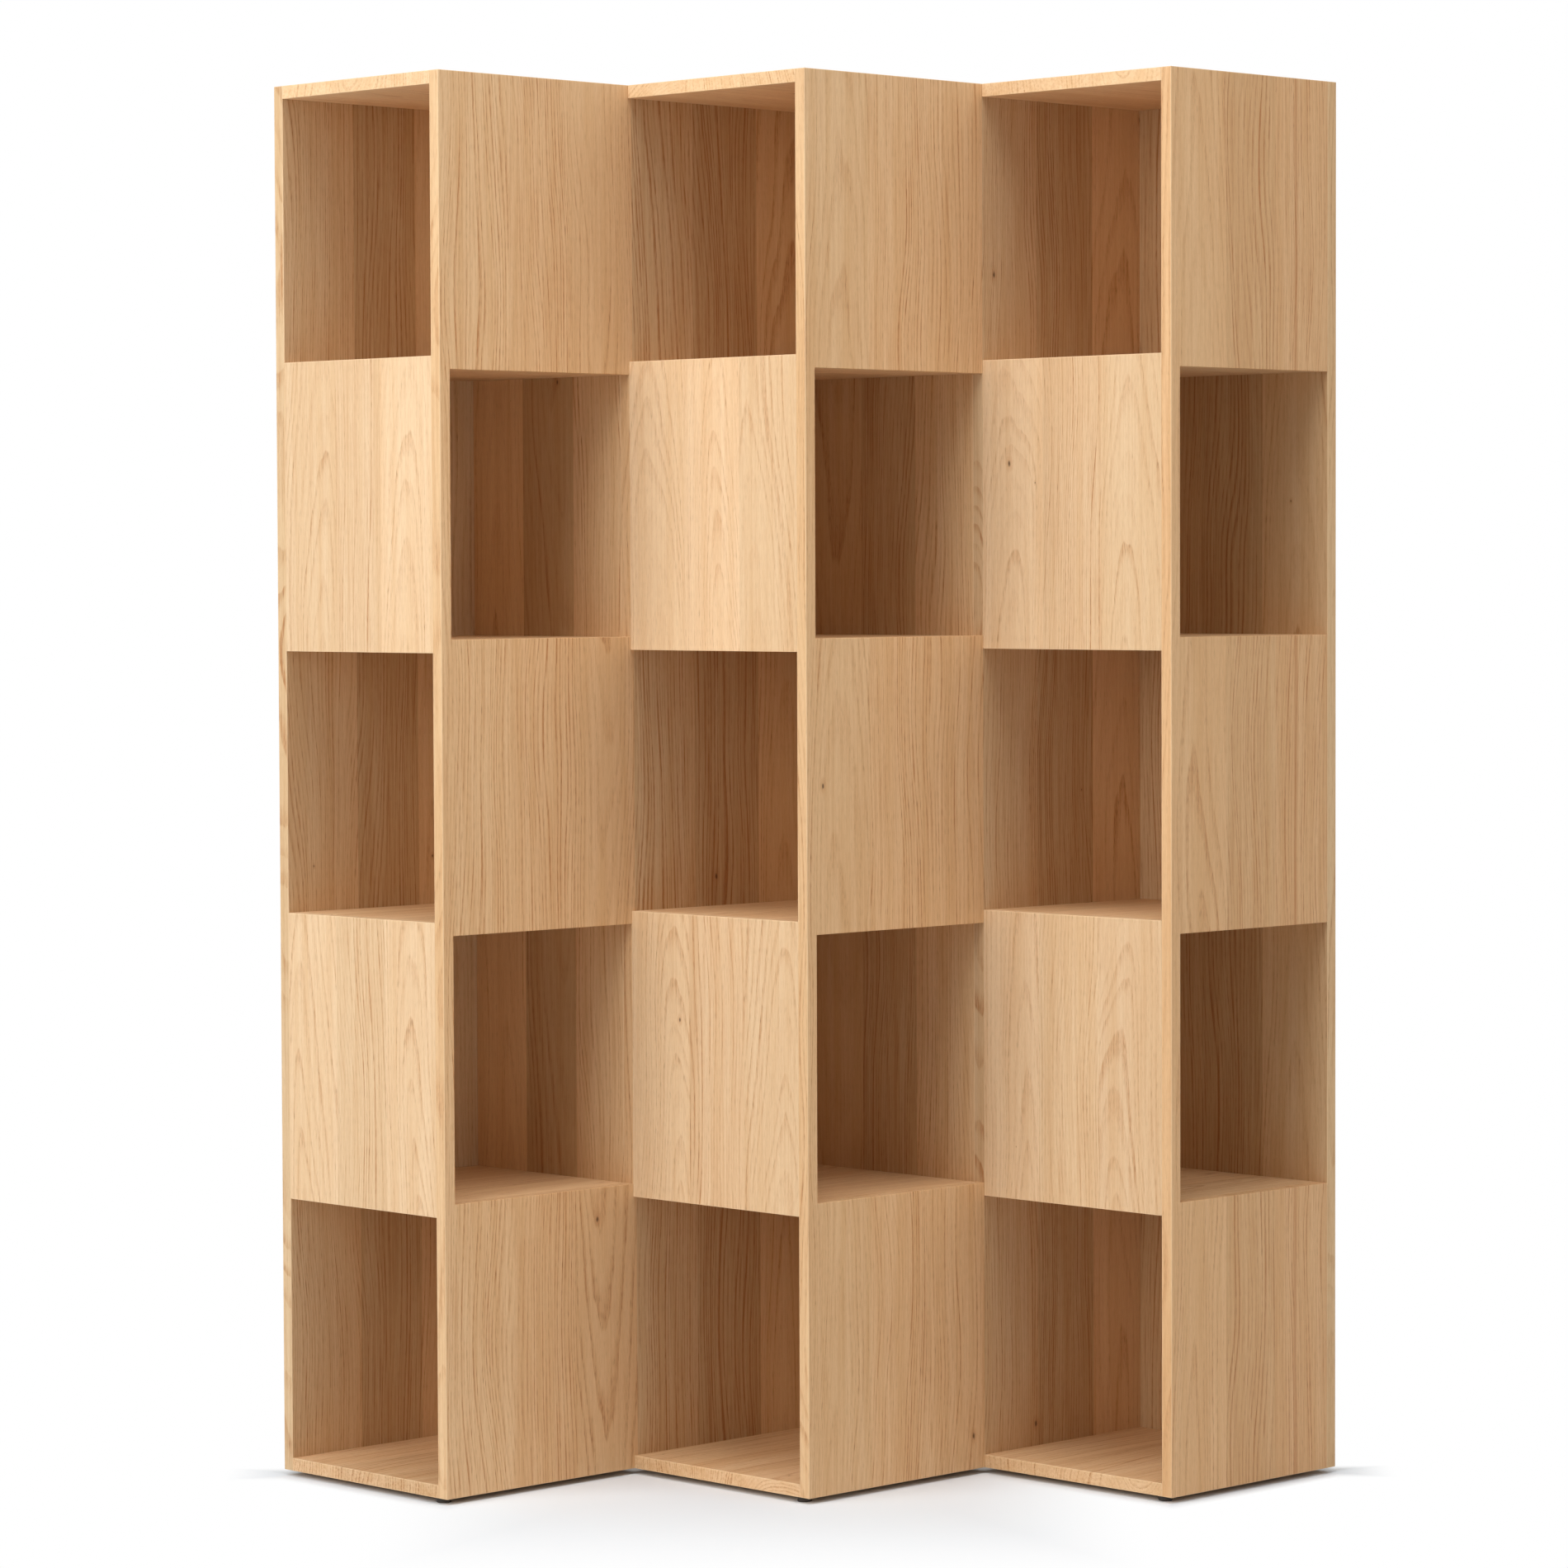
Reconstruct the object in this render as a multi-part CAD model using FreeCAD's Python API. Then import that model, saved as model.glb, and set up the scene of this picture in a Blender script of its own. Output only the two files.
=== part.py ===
import FreeCAD, Part
import math
import os

# Zigzag bookshelf of stave-glued oak: square columns stand corner to corner, turned 45 degrees.
# All sizes are in millimetres. The finished part has +Z up and +X to the right, with its front
# corners towards -Y, and its origin on the floor under the middle of its bounding box.

# Carcass sizes
COLUMN_COUNT = 3
ROW_COUNT = 5
COLUMN_SIDE = 345.0
CARCASS_HEIGHT = 1918.0
BOARD = 18.0
ARRIS = 0.8

# Dowel sizes
DOWEL_DIAMETER = 8.0
DOWEL_LENGTH = 28.0
DOWEL_CHAMFER = 1.0
DOWEL_SKIN = 8.0
DOWEL_FIT = 0.05
DOWEL_END_ROOM = 0.5
SHELF_DOWEL_INSET = 50.0
PANEL_DOWEL_INSET = 80.0
BACK_DOWEL_SPREAD = 180.0

# Levelling foot sizes
PAD_DIAMETER = 20.0
PAD_HEIGHT = 8.0
PAD_ROUNDING = 1.2
STEM_DIAMETER = 6.0
STEM_HEAD_DIAMETER = 12.0
STEM_HEAD_HEIGHT = 3.0
STEM_END_ROOM = 1.0
STEM_RUNNING_FIT = 0.05
STEM_HEAD_FIT = 0.05
INSERT_DIAMETER = 10.0
INSERT_FIT = 0.05
INSERT_END_ROOM = 1.0
INSERT_SKIN = 4.0
FOOT_FROM_FRONT = 17.0
FOOT_FROM_WALL = 8.0

# Sizes that follow from the ones above
CARCASS_BOTTOM = PAD_HEIGHT
CARCASS_TOP = CARCASS_BOTTOM + CARCASS_HEIGHT
ROW_PITCH = (CARCASS_HEIGHT - BOARD) / ROW_COUNT
DOWEL_IN_FACE = BOARD - DOWEL_SKIN
DOWEL_IN_EDGE = DOWEL_LENGTH - DOWEL_IN_FACE
INSERT_HOLE_DEPTH = BOARD - INSERT_SKIN
INSERT_LENGTH = INSERT_HOLE_DEPTH - INSERT_END_ROOM
STEM_LENGTH = INSERT_LENGTH - STEM_END_ROOM

# Directions of the lattice: x runs to the back right, y to the back left.
TO_BACK_RIGHT = FreeCAD.Vector(1, 0, 0)
TO_BACK_LEFT = FreeCAD.Vector(0, 1, 0)
TO_FRONT_RIGHT = FreeCAD.Vector(0, -1, 0)
UP = FreeCAD.Vector(0, 0, 1)

pieces = {}
cutters = {}
groups = {}


class Column:
    """The clear space of one column between its boards, in lattice axes."""

    def __init__(self, index):
        self.number = index + 1
        self.is_first = index == 0
        self.is_last = index == COLUMN_COUNT - 1
        self.front = index * COLUMN_SIDE
        self.outer_right = -(index + 1) * COLUMN_SIDE
        self.right = self.outer_right + BOARD
        self.outer_left = -index * COLUMN_SIDE
        self.left = self.outer_left - (BOARD if self.is_first else 0.0)
        self.back = (index + 1) * COLUMN_SIDE - (BOARD if self.is_last else 0.0)
        self.back_outer = self.back + BOARD
        self.left_wall = "left_end_board" if self.is_first else f"divider_board_{index}"
        self.right_wall = "right_front_board" if self.is_last else f"divider_board_{self.number}"


columns = [Column(index) for index in range(COLUMN_COUNT)]


def level_bottom(level):
    """Underside of a horizontal board; level 0 is the bottom panel."""
    return CARCASS_BOTTOM + level * ROW_PITCH


def is_panel_row(row):
    """Even rows, counted from the floor, have a front panel on the left and a window on the right."""
    return row % 2 == 0


def box_between(x0, x1, y0, y1, z0, z1):
    """A sharp-edged block given by its limits along each lattice axis."""
    return Part.makeBox(x1 - x0, y1 - y0, z1 - z0, FreeCAD.Vector(x0, y0, z0))


def eased(board):
    """The same board with every edge slightly rounded."""
    return board.makeFillet(ARRIS, board.Edges)


def window_cutters(column):
    """Openings in a right-hand wall; a front stile as wide as the board is thick stays."""
    return [
        box_between(
            column.front + BOARD,
            column.back,
            column.outer_right - BOARD,
            column.right + BOARD,
            level_bottom(row - 1) + BOARD,
            level_bottom(row),
        )
        for row in range(1, ROW_COUNT + 1)
        if is_panel_row(row)
    ]


def add_walls():
    """Full-height boards: the left end, the windowed walls and the back boards."""
    first = columns[0]
    pieces["left_end_board"] = eased(
        box_between(
            first.front, first.back_outer, first.left, first.outer_left, CARCASS_BOTTOM, CARCASS_TOP
        )
    )
    for column in columns:
        wall_end = column.back if column.is_last else columns[column.number].back_outer
        wall = box_between(
            column.front, wall_end, column.outer_right, column.right, CARCASS_BOTTOM, CARCASS_TOP
        )
        pieces[column.right_wall] = eased(wall.cut(window_cutters(column)))
        back_end = column.outer_right if column.is_last else column.right
        pieces[f"back_board_{column.number}"] = eased(
            box_between(
                column.back, column.back_outer, back_end, column.left, CARCASS_BOTTOM, CARCASS_TOP
            )
        )


def add_levels():
    """Bottom panel, shelves and top panel of each column."""
    for column in columns:
        for level in range(ROW_COUNT + 1):
            is_cap = level in (0, ROW_COUNT)
            if level == 0:
                name = f"bottom_panel_{column.number}"
            elif level == ROW_COUNT:
                name = f"top_panel_{column.number}"
            else:
                name = f"shelf_{column.number}_{level}"
            front = column.front if is_cap else column.front + BOARD
            z0 = level_bottom(level)
            pieces[name] = eased(
                box_between(front, column.back, column.right, column.left, z0, z0 + BOARD)
            )
            group = "cap_dowels" if is_cap else "shelf_dowels"
            for x in (front + SHELF_DOWEL_INSET, column.back - SHELF_DOWEL_INSET):
                add_side_dowels(group, name, column, x, z0 + BOARD / 2)


def add_front_panels():
    """Closed panels on the left faces; each covers the edges of the shelves above and below."""
    for column in columns:
        for row in range(1, ROW_COUNT + 1):
            if not is_panel_row(row):
                continue
            name = f"front_panel_{column.number}_{row}"
            z0 = level_bottom(row - 1)
            z1 = level_bottom(row) + BOARD
            pieces[name] = eased(
                box_between(column.front, column.front + BOARD, column.right, column.left, z0, z1)
            )
            for z in (z0 + PANEL_DOWEL_INSET, z1 - PANEL_DOWEL_INSET):
                add_side_dowels("front_panel_dowels", name, column, column.front + BOARD / 2, z)


def add_back_dowels():
    """Dowels along the edges of the back boards, in the rows that have no front panel."""
    for column in columns:
        name = f"back_board_{column.number}"
        for row in range(1, ROW_COUNT + 1):
            if is_panel_row(row):
                continue
            middle = level_bottom(row - 1) + (ROW_PITCH + BOARD) / 2
            for z in (middle - BACK_DOWEL_SPREAD / 2, middle + BACK_DOWEL_SPREAD / 2):
                x = column.back + BOARD / 2
                left = FreeCAD.Vector(x, column.left, z)
                add_dowel("back_board_dowels", name, column.left_wall, left, TO_BACK_LEFT)
                if column.is_last:
                    end = FreeCAD.Vector(column.back, column.outer_right + BOARD / 2, z)
                    add_dowel("back_board_dowels", column.right_wall, name, end, TO_BACK_RIGHT)
                else:
                    right = FreeCAD.Vector(x, column.right, z)
                    add_dowel("back_board_dowels", name, column.right_wall, right, TO_FRONT_RIGHT)


def add_side_dowels(group, name, column, x, z):
    """One dowel at each end of a piece that spans a column from wall to wall."""
    left = FreeCAD.Vector(x, column.left, z)
    right = FreeCAD.Vector(x, column.right, z)
    add_dowel(group, name, column.left_wall, left, TO_BACK_LEFT)
    add_dowel(group, name, column.right_wall, right, TO_FRONT_RIGHT)


def make_dowel():
    """A wooden dowel along +Z with chamfered ends."""
    pin = Part.makeCylinder(DOWEL_DIAMETER / 2, DOWEL_LENGTH)
    rims = [edge for edge in pin.Edges if edge.Closed and edge.BoundBox.ZLength < DOWEL_CHAMFER]
    return pin.makeChamfer(DOWEL_CHAMFER, rims)


dowel_pattern = make_dowel()


def add_dowel(group, edge_piece, face_piece, joint, direction):
    """A dowel across a butt joint, and the hole for it in the edge and in the face it enters."""
    start = joint - direction * DOWEL_IN_EDGE
    dowel = dowel_pattern.copy()
    dowel.Placement = FreeCAD.Placement(start, FreeCAD.Rotation(UP, direction))
    groups.setdefault(group, []).append(dowel)
    hole = Part.makeCylinder(
        DOWEL_DIAMETER / 2 + DOWEL_FIT,
        DOWEL_LENGTH + 2 * DOWEL_END_ROOM,
        start - direction * DOWEL_END_ROOM,
        direction,
    )
    for name in (edge_piece, face_piece):
        cutters.setdefault(name, []).append(hole)


def make_pad():
    """A round foot pad with a recess in its top for the head of the stem."""
    pad = Part.makeCylinder(PAD_DIAMETER / 2, PAD_HEIGHT)
    rims = [edge for edge in pad.Edges if edge.Closed and edge.BoundBox.ZLength < PAD_ROUNDING]
    pad = pad.makeFillet(PAD_ROUNDING, rims)
    recess_floor = FreeCAD.Vector(0, 0, PAD_HEIGHT - STEM_HEAD_HEIGHT)
    recess = Part.makeCylinder(STEM_HEAD_DIAMETER / 2 + STEM_HEAD_FIT, PAD_HEIGHT, recess_floor)
    return pad.cut(recess)


def make_stem():
    """A threaded stem, drawn at its outer diameter, on a flat round head."""
    head_base = FreeCAD.Vector(0, 0, PAD_HEIGHT - STEM_HEAD_HEIGHT)
    head = Part.makeCylinder(STEM_HEAD_DIAMETER / 2, STEM_HEAD_HEIGHT, head_base)
    shank = Part.makeCylinder(STEM_DIAMETER / 2, STEM_HEAD_HEIGHT + STEM_LENGTH, head_base)
    return head.fuse(shank).removeSplitter()


def make_insert():
    """A threaded sleeve, flush with the underside of the bottom panel."""
    base = FreeCAD.Vector(0, 0, CARCASS_BOTTOM)
    sleeve = Part.makeCylinder(INSERT_DIAMETER / 2, INSERT_LENGTH, base)
    bore = Part.makeCylinder(STEM_DIAMETER / 2 + STEM_RUNNING_FIT, INSERT_LENGTH, base)
    return sleeve.cut(bore)


def add_feet():
    """A levelling foot under the front and the back corner of each bottom panel."""
    for column in columns:
        spots = {
            "front": (column.front + FOOT_FROM_FRONT, column.right + FOOT_FROM_WALL),
            "back": (column.back - FOOT_FROM_FRONT, column.left - FOOT_FROM_WALL),
        }
        for place, (x, y) in spots.items():
            shift = FreeCAD.Vector(x, y, 0)
            pieces[f"foot_pad_{place}_{column.number}"] = make_pad().translated(shift)
            pieces[f"foot_stem_{place}_{column.number}"] = make_stem().translated(shift)
            groups.setdefault("foot_inserts", []).append(make_insert().translated(shift))
            hole = Part.makeCylinder(
                INSERT_DIAMETER / 2 + INSERT_FIT,
                INSERT_HOLE_DEPTH + PAD_HEIGHT,
                FreeCAD.Vector(x, y, CARCASS_BOTTOM - PAD_HEIGHT),
            )
            cutters.setdefault(f"bottom_panel_{column.number}", []).append(hole)


def in_part_frame(shape):
    """Turns the lattice by 45 degrees and centres its bounding box over the origin."""
    turned = shape.copy()
    turned.rotate(FreeCAD.Vector(0, 0, 0), UP, 45)
    middle_x = COLUMN_COUNT * COLUMN_SIDE / math.sqrt(2)
    middle_y = BOARD / 2 / math.sqrt(2)
    turned.translate(FreeCAD.Vector(-middle_x, -middle_y, 0))
    return turned


def export_all():
    """Writes one file for each piece and one for each group of equal fasteners."""
    os.makedirs("parts", exist_ok=True)
    for name, shape in pieces.items():
        if name in cutters:
            shape = shape.cut(cutters[name])
        in_part_frame(shape).exportStep(f"parts/{name}.step")
    for name, solids in groups.items():
        in_part_frame(Part.makeCompound(solids)).exportStep(f"parts/{name}.step")


add_walls()
add_levels()
add_front_panels()
add_back_dowels()
add_feet()
export_all()
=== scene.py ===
import math
import random

import bpy
from mathutils import Euler, Matrix, Vector

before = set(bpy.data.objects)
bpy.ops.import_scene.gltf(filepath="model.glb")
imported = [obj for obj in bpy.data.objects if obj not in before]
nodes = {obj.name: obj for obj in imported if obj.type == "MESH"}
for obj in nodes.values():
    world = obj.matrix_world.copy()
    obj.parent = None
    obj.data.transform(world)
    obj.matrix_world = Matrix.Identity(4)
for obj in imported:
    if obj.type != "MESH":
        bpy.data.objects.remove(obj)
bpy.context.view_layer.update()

# Looks of the zigzag bookshelf. Every shape is a CAD node: this script gives each one its
# material, then adds the floor, the light and the camera. Lengths are in metres, except in the
# oak, which counts in millimetres. Colours are linear.

MILLIMETRES_PER_METRE = 1000.0
WHITE = (1.0, 1.0, 1.0, 1.0)

# Lattice of the columns: u runs to the back right and w to the back left, both turned 45 degrees
# from X and Y. Places in it are (u, w, z).
LATTICE_TURN = math.radians(-45.0)
LATTICE_U0 = 522.0
LATTICE_W0 = -513.0
AXIS_U = 0
AXIS_Z = 2

# How light each stave is and how it was sawn, on the boards that the photograph shows. Sawn: r is
# rift with straight lines, u is flat with arches that point up, d is flat with arches that point
# down.
STAVES = {
    "left_end_board": ((0.98, 0.78, 0.93), "rru"),
    "divider_board_1": ((1.00, 0.96, 0.94, 0.87, 0.76, 0.97), "rrdrru"),
    "divider_board_2": ((0.98, 0.99, 1.00, 0.91, 0.80, 1.07), "urrrru"),
    "right_front_board": ((1.00, 0.91, 0.95), "urr"),
    "back_board_1": ((0.98, 0.76, 1.10), "rdu"),
    "back_board_2": ((0.98, 0.80, 0.90), "rrd"),
    "back_board_3": ((0.92, 0.77, 0.82), "urr"),
    "front_panel_1_4": ((1.14, 1.04, 1.05), "uru"),
    "front_panel_2_4": ((1.06, 1.17, 1.20), "uuu"),
    "front_panel_3_4": ((1.04, 1.02, 1.13), "uru"),
    "front_panel_1_2": ((1.12, 1.06, 1.14), "uru"),
    "front_panel_2_2": ((1.06, 1.07, 1.17), "uru"),
    "front_panel_3_2": ((1.05, 1.08, 1.12), "uru"),
    "top_panel_1": ((1.12, 1.08, 1.14), "rur"),
    "top_panel_2": ((1.08, 1.14, 1.10), "rrd"),
    "top_panel_3": ((1.12, 1.10, 1.08), "urr"),
}

# Staves of the other boards: the range of their tones, and the cuts they are chosen from
OTHER_TONE = (0.92, 1.06)
OTHER_SAWN = "rrrud"

# Slight casts in red, green and blue, painted on the wood for the light or shade on each face. The plain
# cast
# # changes nothing. The lit front panels turn cooler and the front edge of a divider a little warmer. The
# shaded
# # right faces turn darker and warmer. The right face of the last column has no neighbour, so it turns
# darker and
# # warmer still, as painted bounce light. The backs turn a little darker, and the shaded inside walls
# cooler
PLAIN_CAST = (1.0, 1.0, 1.0)
PANEL_LIT_CAST = (0.95, 0.99, 1.04)
STILE_LIGHT_CAST = (1.005, 0.99, 0.975)
RIGHT_SHADE_CAST = (1.0, 0.97, 0.935)
RIGHT_FRONT_SHADE_CAST = (0.985, 0.91, 0.84)
BACK_SHADE_CAST = (0.98, 0.985, 0.98)
INSIDE_SHADE_CAST = (0.95, 0.99, 1.03)

# Painted light and shade: the casts of a board's staves, by the start of its name and the face each stave
# lies
# # on; one cast goes for all staves
FACE_LIGHT_CASTS = {
    "front_panel": (PANEL_LIT_CAST,),
    "right_front_board": (RIGHT_FRONT_SHADE_CAST,),
    "back_board": (BACK_SHADE_CAST,),
    "left_end_board": (INSIDE_SHADE_CAST,),
    "divider_board": (STILE_LIGHT_CAST, RIGHT_SHADE_CAST, RIGHT_SHADE_CAST, INSIDE_SHADE_CAST, INSIDE_SHADE_CAST, INSIDE_SHADE_CAST),
}

# Tint of a stave: powers of its tone in red and blue, and how far it turns to pink or green
RED_POWER = 0.9
BLUE_POWER = 1.2
PINK_REACH = 0.008

# Staves: their usual width, and how far an edge strays from its even place
STAVE_WIDTH = 115.0
STAVE_STRAY = 7.0

# Pith of a rift stave, far to one side: how far aside and how deep it lies, and how it leans
RIFT_SIDE = (115.0, 190.0)
RIFT_DEPTH = (0.0, 30.0)
RIFT_LEAN = (-0.012, 0.012)

# Pith of a flat stave, under it and leaning away along it, more so on a board that is short
FLAT_SIDE = (-36.0, 36.0)
FLAT_DEPTH = (14.0, 30.0)
LONG_LEAN = (0.03, 0.045)
SHORT_LEAN = (0.065, 0.10)
SHORT_LENGTH = 900.0

# Rings: their spacing, how strongly they show on each cut, and the power of the tone in that
RING_SPACING = (4.8, 7.4)
CONTRAST = {"r": 1.40, "u": 0.98, "d": 0.85}
CONTRAST_POWER = 1.6

# Ranges that the values of the staves are packed in
PITH_SPANS = {"side": (-1000.0, 1000.0), "depth": (-250.0, 250.0), "lean": (-0.1, 0.1)}
LINE_SPANS = {"spacing": (0.0, 10.0), "contrast": (0.0, 4.0)}

# Dark veins along a board, each with its place across it and half its width; how far they bend,
# over what length, and the detail and roughness of that
VEINS = {"right_front_board": ((258.0, 5.5), (329.0, 6.5))}
VEIN_BEND = 5.0
VEIN_LENGTH = 320.0
VEIN_NOISE = (1.0, 0.5)

# How far apart the boards lie in the noise
BOARD_APART = 2150.0

# Noise drawn out along the grain: its sizes along and across it, detail and roughness
WANDER_NOISE = (480.0, 150.0, 1.0, 0.35)
RIPPLE_NOISE = (170.0, 14.0, 1.0, 0.5)
STREAK_NOISE = (700.0, 24.0, 3.0, 0.55)
LINE_NOISE = (190.0, 4.0, 3.0, 0.7)
FIBRE_NOISE = (24.0, 1.1, 1.0, 0.6)
DASH_NOISE = (13.0, 0.75, 1.0, 0.5)
KNOT_NOISE = (5.0, 2.5, 1.0, 0.5)

# How far the pith wanders and the rings ripple
WANDER_REACH = 48.0
RIPPLE_REACH = 1.4

# Uneven rings: size of the noise across them, its detail and roughness, and the rings it adds
UNEVEN_SIZE = 21.0
UNEVEN_NOISE = (2.0, 0.6)
UNEVEN_RINGS = 2.6

# Late wood: its rise and fall within a ring, the strengths of a faint and a strong ring with the
# power that makes the strong ones few, and how lines and dashes break it up
LATE_RISE = (0.42, 0.88)
LATE_FALL = (0.92, 1.0)
RING_STRENGTH = (0.18, 1.20)
RING_POWER = 2.0
LATE_BY_LINE = (0.45, 1.0)
LATE_BY_DASH = (0.36, 0.60, 0.62, 1.12)

# Steps in the noise from none to all of a trait
STREAK_STEP = (0.30, 0.72)
LINE_STEP = (0.40, 0.66)
FIBRE_STEP = (0.40, 0.75)
PORE_STEP = (0.52, 0.66)

# Pores: how strongly they show everywhere, and what late wood adds
PORE_EVERYWHERE = 0.22
PORE_IN_LATE = 0.9

# Pin knots: the cells that may hold one, the draws that do and their sizes as shares of a cell,
# the uneven rim, and how far out the knot and its halo fade
KNOT_CELL = (230.0, 130.0)
KNOT_SIZE = (0.78, 1.0, 0.0001, 0.026)
KNOT_RIM = (0.6, 1.4)
KNOT_FADE = (0.2, 1.0)
HALO_FADE = (0.7, 2.8)

# How much of each trait goes into the colour of the oak
LATE_SHARE = 0.66
LINE_SHARE = 0.19
FIBRE_SHARE = 0.16
VEIN_SHARE = 0.55
HALO_SHARE = 0.35
PORE_SHARE = 0.50
KNOT_SHARE = 0.85
# The last share is of the painted highlight along the edges
EDGE_HIGHLIGHT_SHARE = 0.45

# Colours of the oak
OAK_PALE = (0.825, 0.580, 0.340)
OAK_DEEP = (0.760, 0.500, 0.268)
OAK_LATE = (0.540, 0.246, 0.092)
OAK_PORE = (0.230, 0.105, 0.038)
OAK_KNOT = (0.085, 0.038, 0.017)
# Painted highlight along the edges, paler than the oak
OAK_EDGE_HIGHLIGHT = (0.840, 0.620, 0.380)

# Finish and relief of the oak, and how far in from an edge it is rougher and carries its painted
# highlight
OAK_ROUGHNESS = (0.44, 0.60)
WORN_ROUGHNESS = 0.10
OAK_SPECULAR = 0.3
FIBRE_RELIEF = 0.4
OAK_BUMP = (0.35, 0.0004)
EDGE_REACH = (0.3, 2.0)

# Beech dowels: colours, noise per metre with its roughness, the step to a fleck, finish and relief
BEECH_PALE = (0.640, 0.400, 0.220)
BEECH_FLECK = (0.440, 0.235, 0.115)
BEECH_NOISE = (900.0, 0.6)
BEECH_STEP = (0.35, 0.7)
BEECH_ROUGHNESS = (0.5, 0.8)
BEECH_BUMP = (0.3, 0.0002)

# Brass inserts: colours, tool marks per metre with their detail and roughness, finish and relief
BRASS_DULL = (0.620, 0.400, 0.130)
BRASS_BRIGHT = (0.760, 0.540, 0.220)
BRASS_MARKS = 4000.0
BRASS_NOISE = (2.0, 0.6)
BRASS_ROUGHNESS = (0.22, 0.45)
BRASS_BUMP = (0.25, 0.0001)

# Plated stems: colours, noise per metre with its roughness, the thread's pitch, finish and relief
STEEL_DULL = (0.560, 0.550, 0.520)
STEEL_BRIGHT = (0.680, 0.660, 0.600)
STEEL_NOISE = (700.0, 0.6)
STEEL_PITCH = 0.001
STEEL_ROUGHNESS = (0.25, 0.5)
STEEL_BUMP = (0.6, 0.0003)

# Dark pads: colours, noise per metre with its roughness, the scuffs on the low rim, finish and
# relief
PAD_DARK = (0.016, 0.010, 0.006)
PAD_LIGHT = (0.034, 0.022, 0.013)
PAD_SCUFF = (0.090, 0.074, 0.058)
PAD_NOISE = (1600.0, 0.65)
SCUFF_HEIGHT = (0.0004, 0.0026)
SCUFF_STEP = (0.45, 0.65)
SCUFF_SHARE = 0.6
PAD_ROUGHNESS = (0.42, 0.68)
PAD_BUMP = (0.4, 0.00015)

# Detail of the noise in the fittings
FITTING_DETAIL = 3.0

# Floor: half its width, and its colour as other surfaces and as the camera see it
FLOOR_HALF = 30.0
FLOOR_UNSEEN = (0.82, 0.82, 0.82)
FLOOR_SEEN = (0.84, 0.895, 0.95)

# Ground the object stands on: how far out its corners lie, half the width of a column, and half
# of all
GROUND_CORNER = 0.25
GROUND_STEP = 0.244
GROUND_END = 0.732

# Where the floor runs out to white: out from the middle, along the front about a place left of
# the middle, along the back, past a rim by the outer columns, and past the ends
FLOOR_MIDDLE = (0.22, 0.77)
FLOOR_FRONT = (0.22, 0.52)
FLOOR_SHIFT = 0.07
FLOOR_BACK = (0.34, 0.76)
FLOOR_RIM = 0.045
FLOOR_END = (0.72, 0.82)

# Light from all around
WORLD_LEVEL = 0.25
WORLD_COLOUR = (1.0, 0.99, 0.98, 1.0)

# Lamps: name, azimuth and elevation in degrees, distance, width, height, radiance and colour
LAMPS = (
    ("key_left", -48, 22, 4.5, 3.2, 3.4, 3.6, (1.0, 0.995, 0.985)),
    ("top_front", -4, 68, 4.2, 3.0, 2.4, 4.0, (1.0, 0.995, 0.985)),
    ("fill_right", 54, 28, 4.5, 2.4, 2.8, 1.9, (1.0, 0.985, 0.965)),
    ("fill_back", 172, 34, 4.5, 3.2, 2.8, 1.5, (1.0, 0.99, 0.98)),
)

# Middle of the shelf, where the lamps aim
LIGHT_TARGET = Vector((0.0, 0.0, 0.95))

# Camera that matches the photograph's view, with its lens and sensor in millimetres
CAMERA_PLACE = (0.0167, -7.1871, 1.2605)
CAMERA_YAW = math.radians(-0.3896)
CAMERA_PITCH = math.radians(-2.384)
CAMERA_ROLL = math.radians(-0.215)
CAMERA_LENS = 119.1
CAMERA_SENSOR = 36.0
CAMERA_NEAR = 0.1
CAMERA_FAR = 200.0


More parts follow.
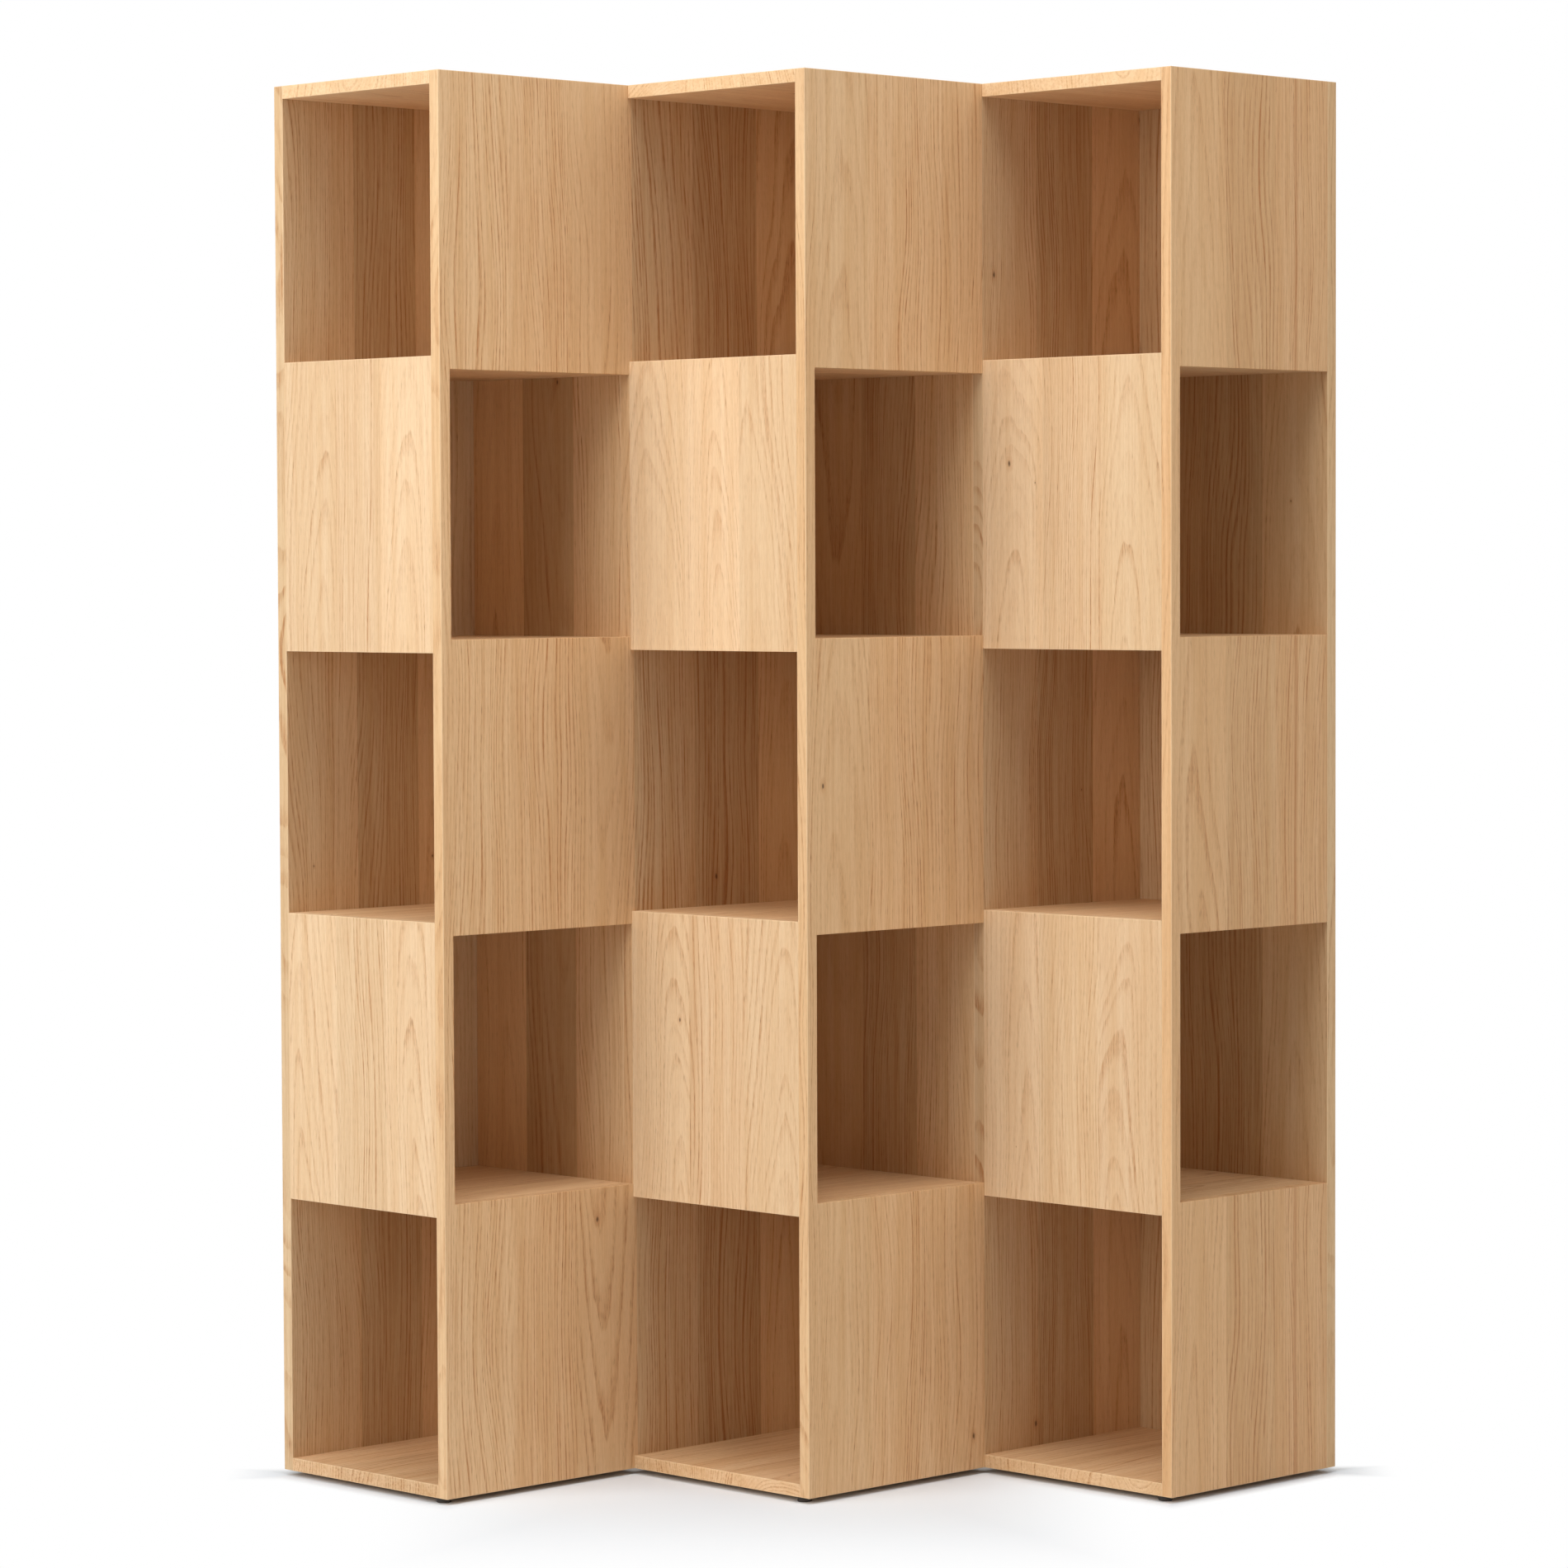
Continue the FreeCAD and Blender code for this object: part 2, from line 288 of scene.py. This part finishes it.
class Graph:
    """Short calls that add nodes to one shader tree and return their output sockets."""

    def __init__(self, tree):
        self.tree = tree
        tree.nodes.clear()

    def add(self, kind, **settings):
        node = self.tree.nodes.new(kind)
        for name, value in settings.items():
            setattr(node, name, value)
        return node

    def feed(self, socket, value):
        """Links an output to a socket, or sets a plain value on it."""
        if isinstance(value, bpy.types.NodeSocket):
            self.tree.links.new(value, socket)
        else:
            socket.default_value = value

    def place(self):
        """The point on the surface, in the object's own metres."""
        return self.add("ShaderNodeTexCoord").outputs["Object"]

    def math(self, operation, *values):
        node = self.add("ShaderNodeMath", operation=operation)
        for socket, value in zip(node.inputs, values):
            self.feed(socket, value)
        return node.outputs[0]

    def smooth(self, value, low, high, out_low=0.0, out_high=1.0):
        """A soft step as a value goes from low to high."""
        node = self.add("ShaderNodeMapRange", interpolation_type="SMOOTHSTEP")
        for name, item in (
            ("Value", value),
            ("From Min", low),
            ("From Max", high),
            ("To Min", out_low),
            ("To Max", out_high),
        ):
            self.feed(node.inputs[name], item)
        return node.outputs["Result"]

    def fade(self, value, low, high):
        """A soft step from 1 down to 0."""
        return self.smooth(value, low, high, 1.0, 0.0)

    def spread(self, value, out_low, out_high):
        """Takes a value from 0 to 1 to another range."""
        return self.math("MULTIPLY_ADD", value, out_high - out_low, out_low)

    def vector(self, x, y, z):
        node = self.add("ShaderNodeCombineXYZ")
        for socket, value in zip(node.inputs, (x, y, z)):
            self.feed(socket, value)
        return node.outputs[0]

    def split(self, vector):
        node = self.add("ShaderNodeSeparateXYZ")
        self.feed(node.inputs[0], vector)
        return node.outputs[0], node.outputs[1], node.outputs[2]

    def noise(self, vector, detail, roughness):
        node = self.add("ShaderNodeTexNoise", noise_dimensions="3D")
        self.feed(node.inputs["Vector"], vector)
        self.feed(node.inputs["Scale"], 1.0)
        self.feed(node.inputs["Detail"], detail)
        self.feed(node.inputs["Roughness"], roughness)
        return node.outputs[0]

    def cloud(self, vector, per_metre, roughness):
        """Noise of the same size every way."""
        node = self.add("ShaderNodeVectorMath", operation="SCALE")
        self.feed(node.inputs[0], vector)
        self.feed(node.inputs["Scale"], per_metre)
        return self.noise(node.outputs[0], FITTING_DETAIL, roughness)

    def mix(self, factor, first, second, blend="MIX"):
        node = self.add("ShaderNodeMix", data_type="RGBA", blend_type=blend, clamp_factor=True)
        self.feed(node.inputs[0], factor)
        for socket, value in ((node.inputs[6], first), (node.inputs[7], second)):
            self.feed(socket, value if isinstance(value, bpy.types.NodeSocket) else (*value, 1.0))
        return node.outputs[2]

    def tinge(self, colour, trait, share, other):
        """Mixes in a share of another colour where a trait shows."""
        return self.mix(self.math("MULTIPLY", trait, share), colour, other)

    def bump(self, height, strength, distance):
        node = self.add("ShaderNodeBump")
        self.feed(node.inputs["Strength"], strength)
        self.feed(node.inputs["Distance"], distance)
        self.feed(node.inputs["Height"], height)
        return node.outputs["Normal"]

    def surface(self, colour, roughness, normal, **fixed):
        """Ends the tree in a Principled shader; fixed values go straight onto its sockets."""
        shader = self.add("ShaderNodeBsdfPrincipled")
        self.feed(shader.inputs["Base Color"], colour)
        self.feed(shader.inputs["Roughness"], roughness)
        self.feed(shader.inputs["Normal"], normal)
        for name, value in fixed.items():
            shader.inputs[name.replace("_", " ")].default_value = value
        self.end(shader, "ShaderNodeOutputMaterial")

    def end_mixed(self, factor, first, second, output_kind):
        """Ends the tree in a mix of two shaders."""
        mix = self.add("ShaderNodeMixShader")
        self.feed(mix.inputs[0], factor)
        self.feed(mix.inputs[1], first.outputs[0])
        self.feed(mix.inputs[2], second.outputs[0])
        self.end(mix, output_kind)

    def end(self, shader, output_kind):
        self.feed(self.add(output_kind).inputs["Surface"], shader.outputs[0])


def new_material(name):
    material = bpy.data.materials.new(name)
    material.use_nodes = True
    return material, Graph(material.node_tree)


def wear(node_name, material):
    """Puts one material on every slot of a CAD node."""
    obj = nodes[node_name]
    if not obj.material_slots:
        obj.data.materials.append(material)
    for slot in obj.material_slots:
        slot.material = material


# Oak

def make_oak_group():
    """Solid oak: rings about a leaning pith, streaks, fibres, pores, pin knots, and edges that are
    rougher and carry a painted highlight.
    """
    tree = bpy.data.node_groups.new("stave_oak", "ShaderNodeTree")
    for in_out, kind, names in (
        ("INPUT", "NodeSocketFloat", ("Along", "Across", "Through", "Side", "Depth", "Lean")),
        ("INPUT", "NodeSocketFloat", ("Spacing", "Contrast", "Vein", "Edge", "Seed")),
        ("INPUT", "NodeSocketColor", ("Tint",)),
        ("OUTPUT", "NodeSocketColor", ("Colour",)),
        ("OUTPUT", "NodeSocketFloat", ("Roughness", "Height")),
    ):
        for name in names:
            tree.interface.new_socket(name, in_out=in_out, socket_type=kind)
    graph = Graph(tree)
    source = graph.add("NodeGroupInput").outputs
    along, across, through = source["Along"], source["Across"], source["Through"]
    own_along = graph.math("MULTIPLY_ADD", source["Seed"], BOARD_APART, along)

    def stretched(along_size, across_size, detail, roughness):
        """Noise drawn out along the grain; each board reads its own stretch of it."""
        place = graph.vector(
            graph.math("DIVIDE", own_along, along_size),
            graph.math("DIVIDE", across, across_size),
            graph.math("DIVIDE", through, across_size),
        )
        return graph.noise(place, detail, roughness)

    # Growth rings: distance from a pith that leans away along the stave and wanders a little
    wander = graph.spread(stretched(*WANDER_NOISE), -WANDER_REACH, WANDER_REACH)
    ripple = graph.spread(stretched(*RIPPLE_NOISE), -RIPPLE_REACH, RIPPLE_REACH)
    lean = graph.math("MULTIPLY", source["Lean"], along)
    sideways = graph.math("ADD", graph.math("ADD", across, source["Side"]), wander)
    inward = graph.math("ADD", graph.math("ADD", through, source["Depth"]), lean)
    squares = graph.math("ADD", graph.math("POWER", sideways, 2.0), graph.math("POWER", inward, 2.0))
    radius = graph.math("ADD", graph.math("SQRT", squares), ripple)
    uneven_place = graph.vector(graph.math("DIVIDE", radius, UNEVEN_SIZE), source["Seed"], 0.0)
    uneven = graph.noise(uneven_place, *UNEVEN_NOISE)
    even_count = graph.math("DIVIDE", radius, source["Spacing"])
    count = graph.math("MULTIPLY_ADD", uneven, UNEVEN_RINGS, even_count)
    phase = graph.math("FRACT", count)
    late = graph.math("MULTIPLY", graph.smooth(phase, *LATE_RISE), graph.fade(phase, *LATE_FALL))

    # A few strong rings among many faint ones
    ring = graph.add("ShaderNodeTexWhiteNoise", noise_dimensions="2D")
    graph.feed(ring.inputs["Vector"], graph.vector(graph.math("FLOOR", count), source["Seed"], 0.0))
    few = graph.math("POWER", ring.outputs["Value"], RING_POWER)
    late = graph.math("MULTIPLY", late, graph.spread(few, *RING_STRENGTH))

    # Streaks, lines, fibres and pores along the grain
    streak = stretched(*STREAK_NOISE)
    line = graph.smooth(stretched(*LINE_NOISE), *LINE_STEP)
    fibre = stretched(*FIBRE_NOISE)
    dash = stretched(*DASH_NOISE)
    late = graph.math("MULTIPLY", late, graph.spread(line, *LATE_BY_LINE))
    pore_strength = graph.math("MULTIPLY_ADD", late, PORE_IN_LATE, PORE_EVERYWHERE)
    pore = graph.math("MULTIPLY", graph.smooth(dash, *PORE_STEP), pore_strength)
    late = graph.math("MULTIPLY", late, graph.smooth(dash, *LATE_BY_DASH))

    # Pin knots, a few to a board
    cell_along, cell_across = KNOT_CELL
    spot = graph.add("ShaderNodeTexVoronoi", voronoi_dimensions="2D", feature="F1")
    spot_place = graph.vector(
        graph.math("DIVIDE", own_along, cell_along),
        graph.math("DIVIDE", across, cell_across),
        0.0,
    )
    graph.feed(spot.inputs["Vector"], spot_place)
    graph.feed(spot.inputs["Scale"], 1.0)
    draw = graph.add("ShaderNodeSeparateColor")
    graph.feed(draw.inputs[0], spot.outputs["Color"])
    size = graph.smooth(draw.outputs[0], *KNOT_SIZE)
    rim = graph.spread(stretched(*KNOT_NOISE), *KNOT_RIM)
    off = graph.math("DIVIDE", graph.math("MULTIPLY", spot.outputs["Distance"], rim), size)
    knot = graph.fade(off, *KNOT_FADE)
    halo = graph.fade(off, *HALO_FADE)

    # Colour
    colour = graph.mix(graph.smooth(streak, *STREAK_STEP), OAK_PALE, OAK_DEEP)
    dark = graph.math("MULTIPLY_ADD", late, LATE_SHARE, graph.math("MULTIPLY", line, LINE_SHARE))
    colour = graph.tinge(colour, dark, source["Contrast"], OAK_LATE)
    colour = graph.tinge(colour, graph.smooth(fibre, *FIBRE_STEP), FIBRE_SHARE, OAK_LATE)
    colour = graph.tinge(colour, source["Vein"], VEIN_SHARE, OAK_LATE)
    colour = graph.tinge(colour, halo, HALO_SHARE, OAK_LATE)
    # Tint: each stave's tone together with the painted light or shade of its face
    colour = graph.mix(1.0, colour, source["Tint"], "MULTIPLY")
    colour = graph.tinge(colour, pore, PORE_SHARE, OAK_PORE)
    colour = graph.tinge(colour, knot, KNOT_SHARE, OAK_KNOT)
    # Painted highlight along the edges of the board
    colour = graph.tinge(colour, source["Edge"], EDGE_HIGHLIGHT_SHARE, OAK_EDGE_HIGHLIGHT)

    # Finish and relief
    plain_roughness = graph.spread(fibre, *OAK_ROUGHNESS)
    roughness = graph.math("MULTIPLY_ADD", source["Edge"], WORN_ROUGHNESS, plain_roughness)
    height = graph.math("SUBTRACT", graph.math("MULTIPLY", fibre, FIBRE_RELIEF), pore)

    sink = graph.add("NodeGroupOutput").inputs
    graph.feed(sink["Colour"], colour)
    graph.feed(sink["Roughness"], roughness)
    graph.feed(sink["Height"], height)
    return tree


def lattice_range(obj):
    """Lowest and highest corner of a board in the lattice."""
    turn = Matrix.Rotation(LATTICE_TURN, 3, "Z")
    start = Vector((LATTICE_U0, LATTICE_W0, 0.0))
    points = [turn @ vertex.co * MILLIMETRES_PER_METRE + start for vertex in obj.data.vertices]
    low = [min(point[axis] for point in points) for axis in range(3)]
    high = [max(point[axis] for point in points) for axis in range(3)]
    return low, high


def board_light_casts(name):
    """Painted light and shade casts of a board's staves; shelves, tops and bottoms have a plain one."""
    for start, light_casts in FACE_LIGHT_CASTS.items():
        if name.startswith(start):
            return light_casts
    return (PLAIN_CAST,)


def cut_staves(name, length, width, chooser):
    """Staves of one glued board, side by side, with the values that steer the oak in each."""
    tones, sawn = STAVES.get(name, (None, None))
    light_casts = board_light_casts(name)
    count = max(1, round(width / STAVE_WIDTH))
    staves = []
    for index in range(count):
        stray = chooser.uniform(-STAVE_STRAY, STAVE_STRAY) if index else 0.0
        edge = index * width / count + stray
        middle = edge + width / count / 2
        kind = sawn[index % len(sawn)] if sawn else chooser.choice(OTHER_SAWN)
        below = chooser.choice((-1, 1))
        if kind == "r":
            side = chooser.choice((-1, 1)) * chooser.uniform(*RIFT_SIDE)
            depth = chooser.uniform(*RIFT_DEPTH)
            lean = chooser.uniform(*RIFT_LEAN)
        else:
            side = chooser.uniform(*FLAT_SIDE)
            depth = chooser.uniform(*FLAT_DEPTH)
            lean = chooser.uniform(*(SHORT_LEAN if length < SHORT_LENGTH else LONG_LEAN))
            if kind == "d":
                depth, lean = depth + lean * length, -lean
        tone = tones[index % len(tones)] if tones else chooser.uniform(*OTHER_TONE)
        pink = 1.0 + chooser.uniform(-PINK_REACH, PINK_REACH)
        tint = (tone ** RED_POWER * pink, tone, tone ** BLUE_POWER * pink)
        # Each stave's tint is its tone times the painted light or shade cast of the face it lies on
        light_cast = light_casts[index % len(light_casts)]
        staves.append({
            "start": edge / width,
            "side": side - middle,
            "depth": below * depth,
            "lean": below * lean,
            "spacing": chooser.uniform(*RING_SPACING),
            "contrast": CONTRAST[kind] / tone ** CONTRAST_POWER,
            "tint": tuple(part * share for part, share in zip(tint, light_cast)),
        })
    return staves


def stave_ramp(graph, share, staves, colours):
    """A stepped ramp that gives each stave one colour."""
    node = graph.add("ShaderNodeValToRGB")
    ramp = node.color_ramp
    ramp.interpolation = "CONSTANT"
    while len(ramp.elements) < len(staves):
        ramp.elements.new(1.0)
    while len(ramp.elements) > len(staves):
        ramp.elements.remove(ramp.elements[-1])
    for element, stave, colour in zip(ramp.elements, staves, colours):
        element.position = stave["start"]
        element.color = (*colour, 1.0)
    graph.feed(node.inputs[0], share)
    return node.outputs[0]


def stave_values(graph, share, staves, spans):
    """Packs up to three values of each stave in one ramp and unpacks them to their own sockets."""
    packed = []
    for stave in staves:
        values = [(stave[key] - low) / (high - low) for key, (low, high) in spans.items()]
        packed.append(values + [0.0] * (3 - len(values)))
    split = graph.add("ShaderNodeSeparateColor")
    graph.feed(split.inputs[0], stave_ramp(graph, share, staves, packed))
    return {key: graph.spread(output, *span) for (key, span), output in zip(spans.items(), split.outputs)}


def vein_strength(graph, veins, along, across, seed):
    """1 in the middle of each dark vein, which bends slowly along the grain."""
    place = graph.vector(graph.math("DIVIDE", along, VEIN_LENGTH), float(seed), 0.0)
    bend = graph.spread(graph.noise(place, *VEIN_NOISE), -VEIN_BEND, VEIN_BEND)
    bent = graph.math("ADD", across, bend)
    strength = 0.0
    for middle, half in veins:
        off = graph.math("ABSOLUTE", graph.math("SUBTRACT", bent, middle))
        strength = graph.math("MAXIMUM", strength, graph.fade(off, 0.0, half))
    return strength


def edge_nearness(graph, axes, low, high):
    """1 on the edges of a board, where a point is close to two of the three pairs of faces."""
    gaps = []
    for axis in range(3):
        middle = (low[axis] + high[axis]) / 2
        half = (high[axis] - low[axis]) / 2
        off = graph.math("ABSOLUTE", graph.math("SUBTRACT", axes[axis], middle))
        gaps.append(graph.math("SUBTRACT", half, off))
    least = graph.math("MINIMUM", gaps[0], gaps[1])
    most = graph.math("MAXIMUM", gaps[0], gaps[1])
    second = graph.math("MAXIMUM", least, graph.math("MINIMUM", most, gaps[2]))
    return graph.fade(second, *EDGE_REACH)


def make_oak(name, group, grain_axis, seed):
    """Oak for one board: grain along u or z, staves side by side across its wider other way."""
    low, high = lattice_range(nodes[name])
    others = [axis for axis in range(3) if axis != grain_axis]
    across_axis, through_axis = sorted(others, key=lambda axis: low[axis] - high[axis])
    length = high[grain_axis] - low[grain_axis]
    width = high[across_axis] - low[across_axis]
    staves = cut_staves(name, length, width, random.Random(seed))

    material, graph = new_material("oak_" + name)
    place = graph.add("ShaderNodeMapping")
    place.inputs["Location"].default_value = (LATTICE_U0, LATTICE_W0, 0.0)
    place.inputs["Rotation"].default_value = (0.0, 0.0, LATTICE_TURN)
    place.inputs["Scale"].default_value = 3 * (MILLIMETRES_PER_METRE,)
    graph.feed(place.inputs["Vector"], graph.place())
    axes = graph.split(place.outputs[0])
    across = graph.math("SUBTRACT", axes[across_axis], low[across_axis])
    share = graph.math("DIVIDE", across, width)
    pith = stave_values(graph, share, staves, PITH_SPANS)
    lines = stave_values(graph, share, staves, LINE_SPANS)
    vein = 0.0
    if name in VEINS:
        vein = vein_strength(graph, VEINS[name], axes[grain_axis], across, seed)
    oak = graph.add("ShaderNodeGroup", node_tree=group)
    for label, value in (
        ("Along", graph.math("SUBTRACT", axes[grain_axis], low[grain_axis])),
        ("Across", across),
        ("Through", graph.math("SUBTRACT", axes[through_axis], low[through_axis])),
        ("Side", pith["side"]),
        ("Depth", pith["depth"]),
        ("Lean", pith["lean"]),
        ("Spacing", lines["spacing"]),
        ("Contrast", lines["contrast"]),
        ("Vein", vein),
        ("Edge", edge_nearness(graph, axes, low, high)),
        ("Seed", float(seed)),
        ("Tint", stave_ramp(graph, share, staves, [stave["tint"] for stave in staves])),
    ):
        graph.feed(oak.inputs[label], value)
    graph.surface(
        oak.outputs["Colour"],
        oak.outputs["Roughness"],
        graph.bump(oak.outputs["Height"], *OAK_BUMP),
        Specular_IOR_Level=OAK_SPECULAR,
    )
    return material


def is_board(name):
    return not name.endswith("_dowels") and not name.startswith("foot_")


def dress_oak():
    """Gives every oak board its own cut of the same wood."""
    group = make_oak_group()
    boards = sorted(name for name in nodes if is_board(name))
    for seed, name in enumerate(boards, start=1):
        lies_flat = name.startswith(("shelf", "top", "bottom"))
        wear(name, make_oak(name, group, AXIS_U if lies_flat else AXIS_Z, seed))


# Fittings

def make_beech():
    """Pale beech dowels with fine flecks."""
    material, graph = new_material("beech_dowel")
    fleck = graph.cloud(graph.place(), *BEECH_NOISE)
    colour = graph.mix(graph.smooth(fleck, *BEECH_STEP), BEECH_PALE, BEECH_FLECK)
    graph.surface(colour, graph.spread(fleck, *BEECH_ROUGHNESS), graph.bump(fleck, *BEECH_BUMP))
    return material


def make_brass():
    """Turned brass inserts with fine tool marks."""
    material, graph = new_material("brass_insert")
    _, _, height = graph.split(graph.place())
    marks_place = graph.vector(0.0, 0.0, graph.math("MULTIPLY", height, BRASS_MARKS))
    marks = graph.noise(marks_place, *BRASS_NOISE)
    colour = graph.mix(marks, BRASS_DULL, BRASS_BRIGHT)
    roughness = graph.spread(marks, *BRASS_ROUGHNESS)
    graph.surface(colour, roughness, graph.bump(marks, *BRASS_BUMP), Metallic=1.0)
    return material


def make_plated_steel():
    """Zinc-plated stems: a fine thread and a faint yellowish cast."""
    material, graph = new_material("plated_steel")
    place = graph.place()
    _, _, height = graph.split(place)
    thread = graph.math("SINE", graph.math("MULTIPLY", height, 2.0 * math.pi / STEEL_PITCH))
    cloud = graph.cloud(place, *STEEL_NOISE)
    colour = graph.mix(cloud, STEEL_DULL, STEEL_BRIGHT)
    roughness = graph.spread(cloud, *STEEL_ROUGHNESS)
    graph.surface(colour, roughness, graph.bump(thread, *STEEL_BUMP), Metallic=1.0)
    return material


def make_dark_pad():
    """Dark moulded pads: a fine matt grain with scuffs low on the rim."""
    material, graph = new_material("dark_pad")
    place = graph.place()
    _, _, height = graph.split(place)
    grain = graph.cloud(place, *PAD_NOISE)
    low_rim = graph.fade(height, *SCUFF_HEIGHT)
    scuff = graph.math("MULTIPLY", low_rim, graph.smooth(grain, *SCUFF_STEP))
    colour = graph.mix(grain, PAD_DARK, PAD_LIGHT)
    colour = graph.tinge(colour, scuff, SCUFF_SHARE, PAD_SCUFF)
    graph.surface(colour, graph.spread(grain, *PAD_ROUGHNESS), graph.bump(grain, *PAD_BUMP))
    return material


def dress_fittings():
    beech = make_beech()
    brass = make_brass()
    steel = make_plated_steel()
    pad = make_dark_pad()
    for name in nodes:
        if name.endswith("_dowels"):
            wear(name, beech)
        elif name == "foot_inserts":
            wear(name, brass)
        elif name.startswith("foot_stem"):
            wear(name, steel)
        elif name.startswith("foot_pad"):
            wear(name, pad)


# Studio

def background_rays(graph):
    """1 for rays that show the background to the camera, in a mirror or through glass."""
    path = graph.add("ShaderNodeLightPath")
    seen = graph.math("ADD", path.outputs["Is Camera Ray"], path.outputs["Is Glossy Ray"])
    return graph.math("MINIMUM", graph.math("ADD", seen, path.outputs["Is Transmission Ray"]), 1.0)


def make_world():
    """White where it is seen, and an even light elsewhere."""
    world = bpy.data.worlds.new("studio")
    world.use_nodes = True
    graph = Graph(world.node_tree)
    shown = graph.add("ShaderNodeBackground")
    shown.inputs["Strength"].default_value = 1.0
    shown.inputs["Color"].default_value = WHITE
    ambient = graph.add("ShaderNodeBackground")
    ambient.inputs["Strength"].default_value = WORLD_LEVEL
    ambient.inputs["Color"].default_value = WORLD_COLOUR
    graph.end_mixed(background_rays(graph), ambient, shown, "ShaderNodeOutputWorld")
    bpy.context.scene.world = world


def floor_whiteness(graph):
    """0 where the floor shows the object's shadow, and 1 where it has run out to white."""
    x, y, _ = graph.split(graph.place())
    wide = graph.math("ABSOLUTE", x)
    deep = graph.math("ABSOLUTE", y)
    zigzag = graph.math("PINGPONG", graph.math("MINIMUM", wide, GROUND_END), GROUND_STEP)
    face = graph.math("SUBTRACT", GROUND_CORNER, zigzag)
    rim = graph.smooth(graph.math("SUBTRACT", deep, face), 0.0, FLOOR_RIM)
    front = graph.smooth(graph.math("ABSOLUTE", graph.math("ADD", x, FLOOR_SHIFT)), *FLOOR_FRONT)
    back = graph.smooth(wide, *FLOOR_BACK)
    behind = graph.math("GREATER_THAN", y, 0.0)
    aside = graph.math("MULTIPLY_ADD", behind, graph.math("SUBTRACT", back, front), front)
    outer = graph.math("MULTIPLY", aside, rim)
    far = graph.math("MAXIMUM", graph.smooth(deep, *FLOOR_MIDDLE), outer)
    return graph.math("MAXIMUM", far, graph.smooth(wide, *FLOOR_END))


def make_floor():
    """A pale floor that takes the object's shadow and runs out to plain white."""
    mesh = bpy.data.meshes.new("floor")
    half = FLOOR_HALF
    corners = [(-half, -half, 0), (half, -half, 0), (half, half, 0), (-half, half, 0)]
    mesh.from_pydata(corners, [], [(0, 1, 2, 3)])
    floor = bpy.data.objects.new("floor", mesh)
    bpy.context.scene.collection.objects.link(floor)
    material, graph = new_material("floor")
    shown = background_rays(graph)
    paint = graph.add("ShaderNodeBsdfDiffuse")
    graph.feed(paint.inputs["Color"], graph.mix(shown, FLOOR_UNSEEN, FLOOR_SEEN))
    white = graph.add("ShaderNodeEmission")
    white.inputs["Color"].default_value = WHITE
    white.inputs["Strength"].default_value = 1.0
    shown_white = graph.math("MULTIPLY", floor_whiteness(graph), shown)
    graph.end_mixed(shown_white, paint, white, "ShaderNodeOutputMaterial")
    mesh.materials.append(material)


def add_softbox(name, azimuth, elevation, distance, width, height, radiance, colour):
    """A rectangular lamp aimed at the shelf; azimuth 0 is the front and grows to the right."""
    lamp = bpy.data.lights.new(name, "AREA")
    lamp.shape = "RECTANGLE"
    lamp.size = width
    lamp.size_y = height
    lamp.energy = radiance * width * height * math.pi
    lamp.color = colour
    turn = math.radians(azimuth)
    rise = math.radians(elevation)
    level = math.cos(rise)
    reach = Vector((math.sin(turn) * level, -math.cos(turn) * level, math.sin(rise)))
    obj = bpy.data.objects.new(name, lamp)
    obj.location = LIGHT_TARGET + distance * reach
    obj.rotation_euler = (-reach).to_track_quat("-Z", "Y").to_euler()
    bpy.context.scene.collection.objects.link(obj)


def add_lights():
    make_world()
    for lamp in LAMPS:
        add_softbox(*lamp)


def add_camera():
    lens = bpy.data.cameras.new("photo_camera")
    lens.lens = CAMERA_LENS
    lens.sensor_width = CAMERA_SENSOR
    lens.sensor_fit = "HORIZONTAL"
    lens.clip_start = CAMERA_NEAR
    lens.clip_end = CAMERA_FAR
    camera = bpy.data.objects.new("photo_camera", lens)
    camera.location = CAMERA_PLACE
    aim = Euler((math.pi / 2 + CAMERA_PITCH, 0.0, -CAMERA_YAW)).to_matrix()
    turn = aim @ Matrix.Rotation(CAMERA_ROLL, 3, "Z")
    camera.rotation_euler = turn.to_euler()
    bpy.context.scene.collection.objects.link(camera)
    bpy.context.scene.camera = camera


dress_oak()
dress_fittings()
make_floor()
add_lights()
add_camera()
bpy.context.scene.view_settings.view_transform = "Standard"
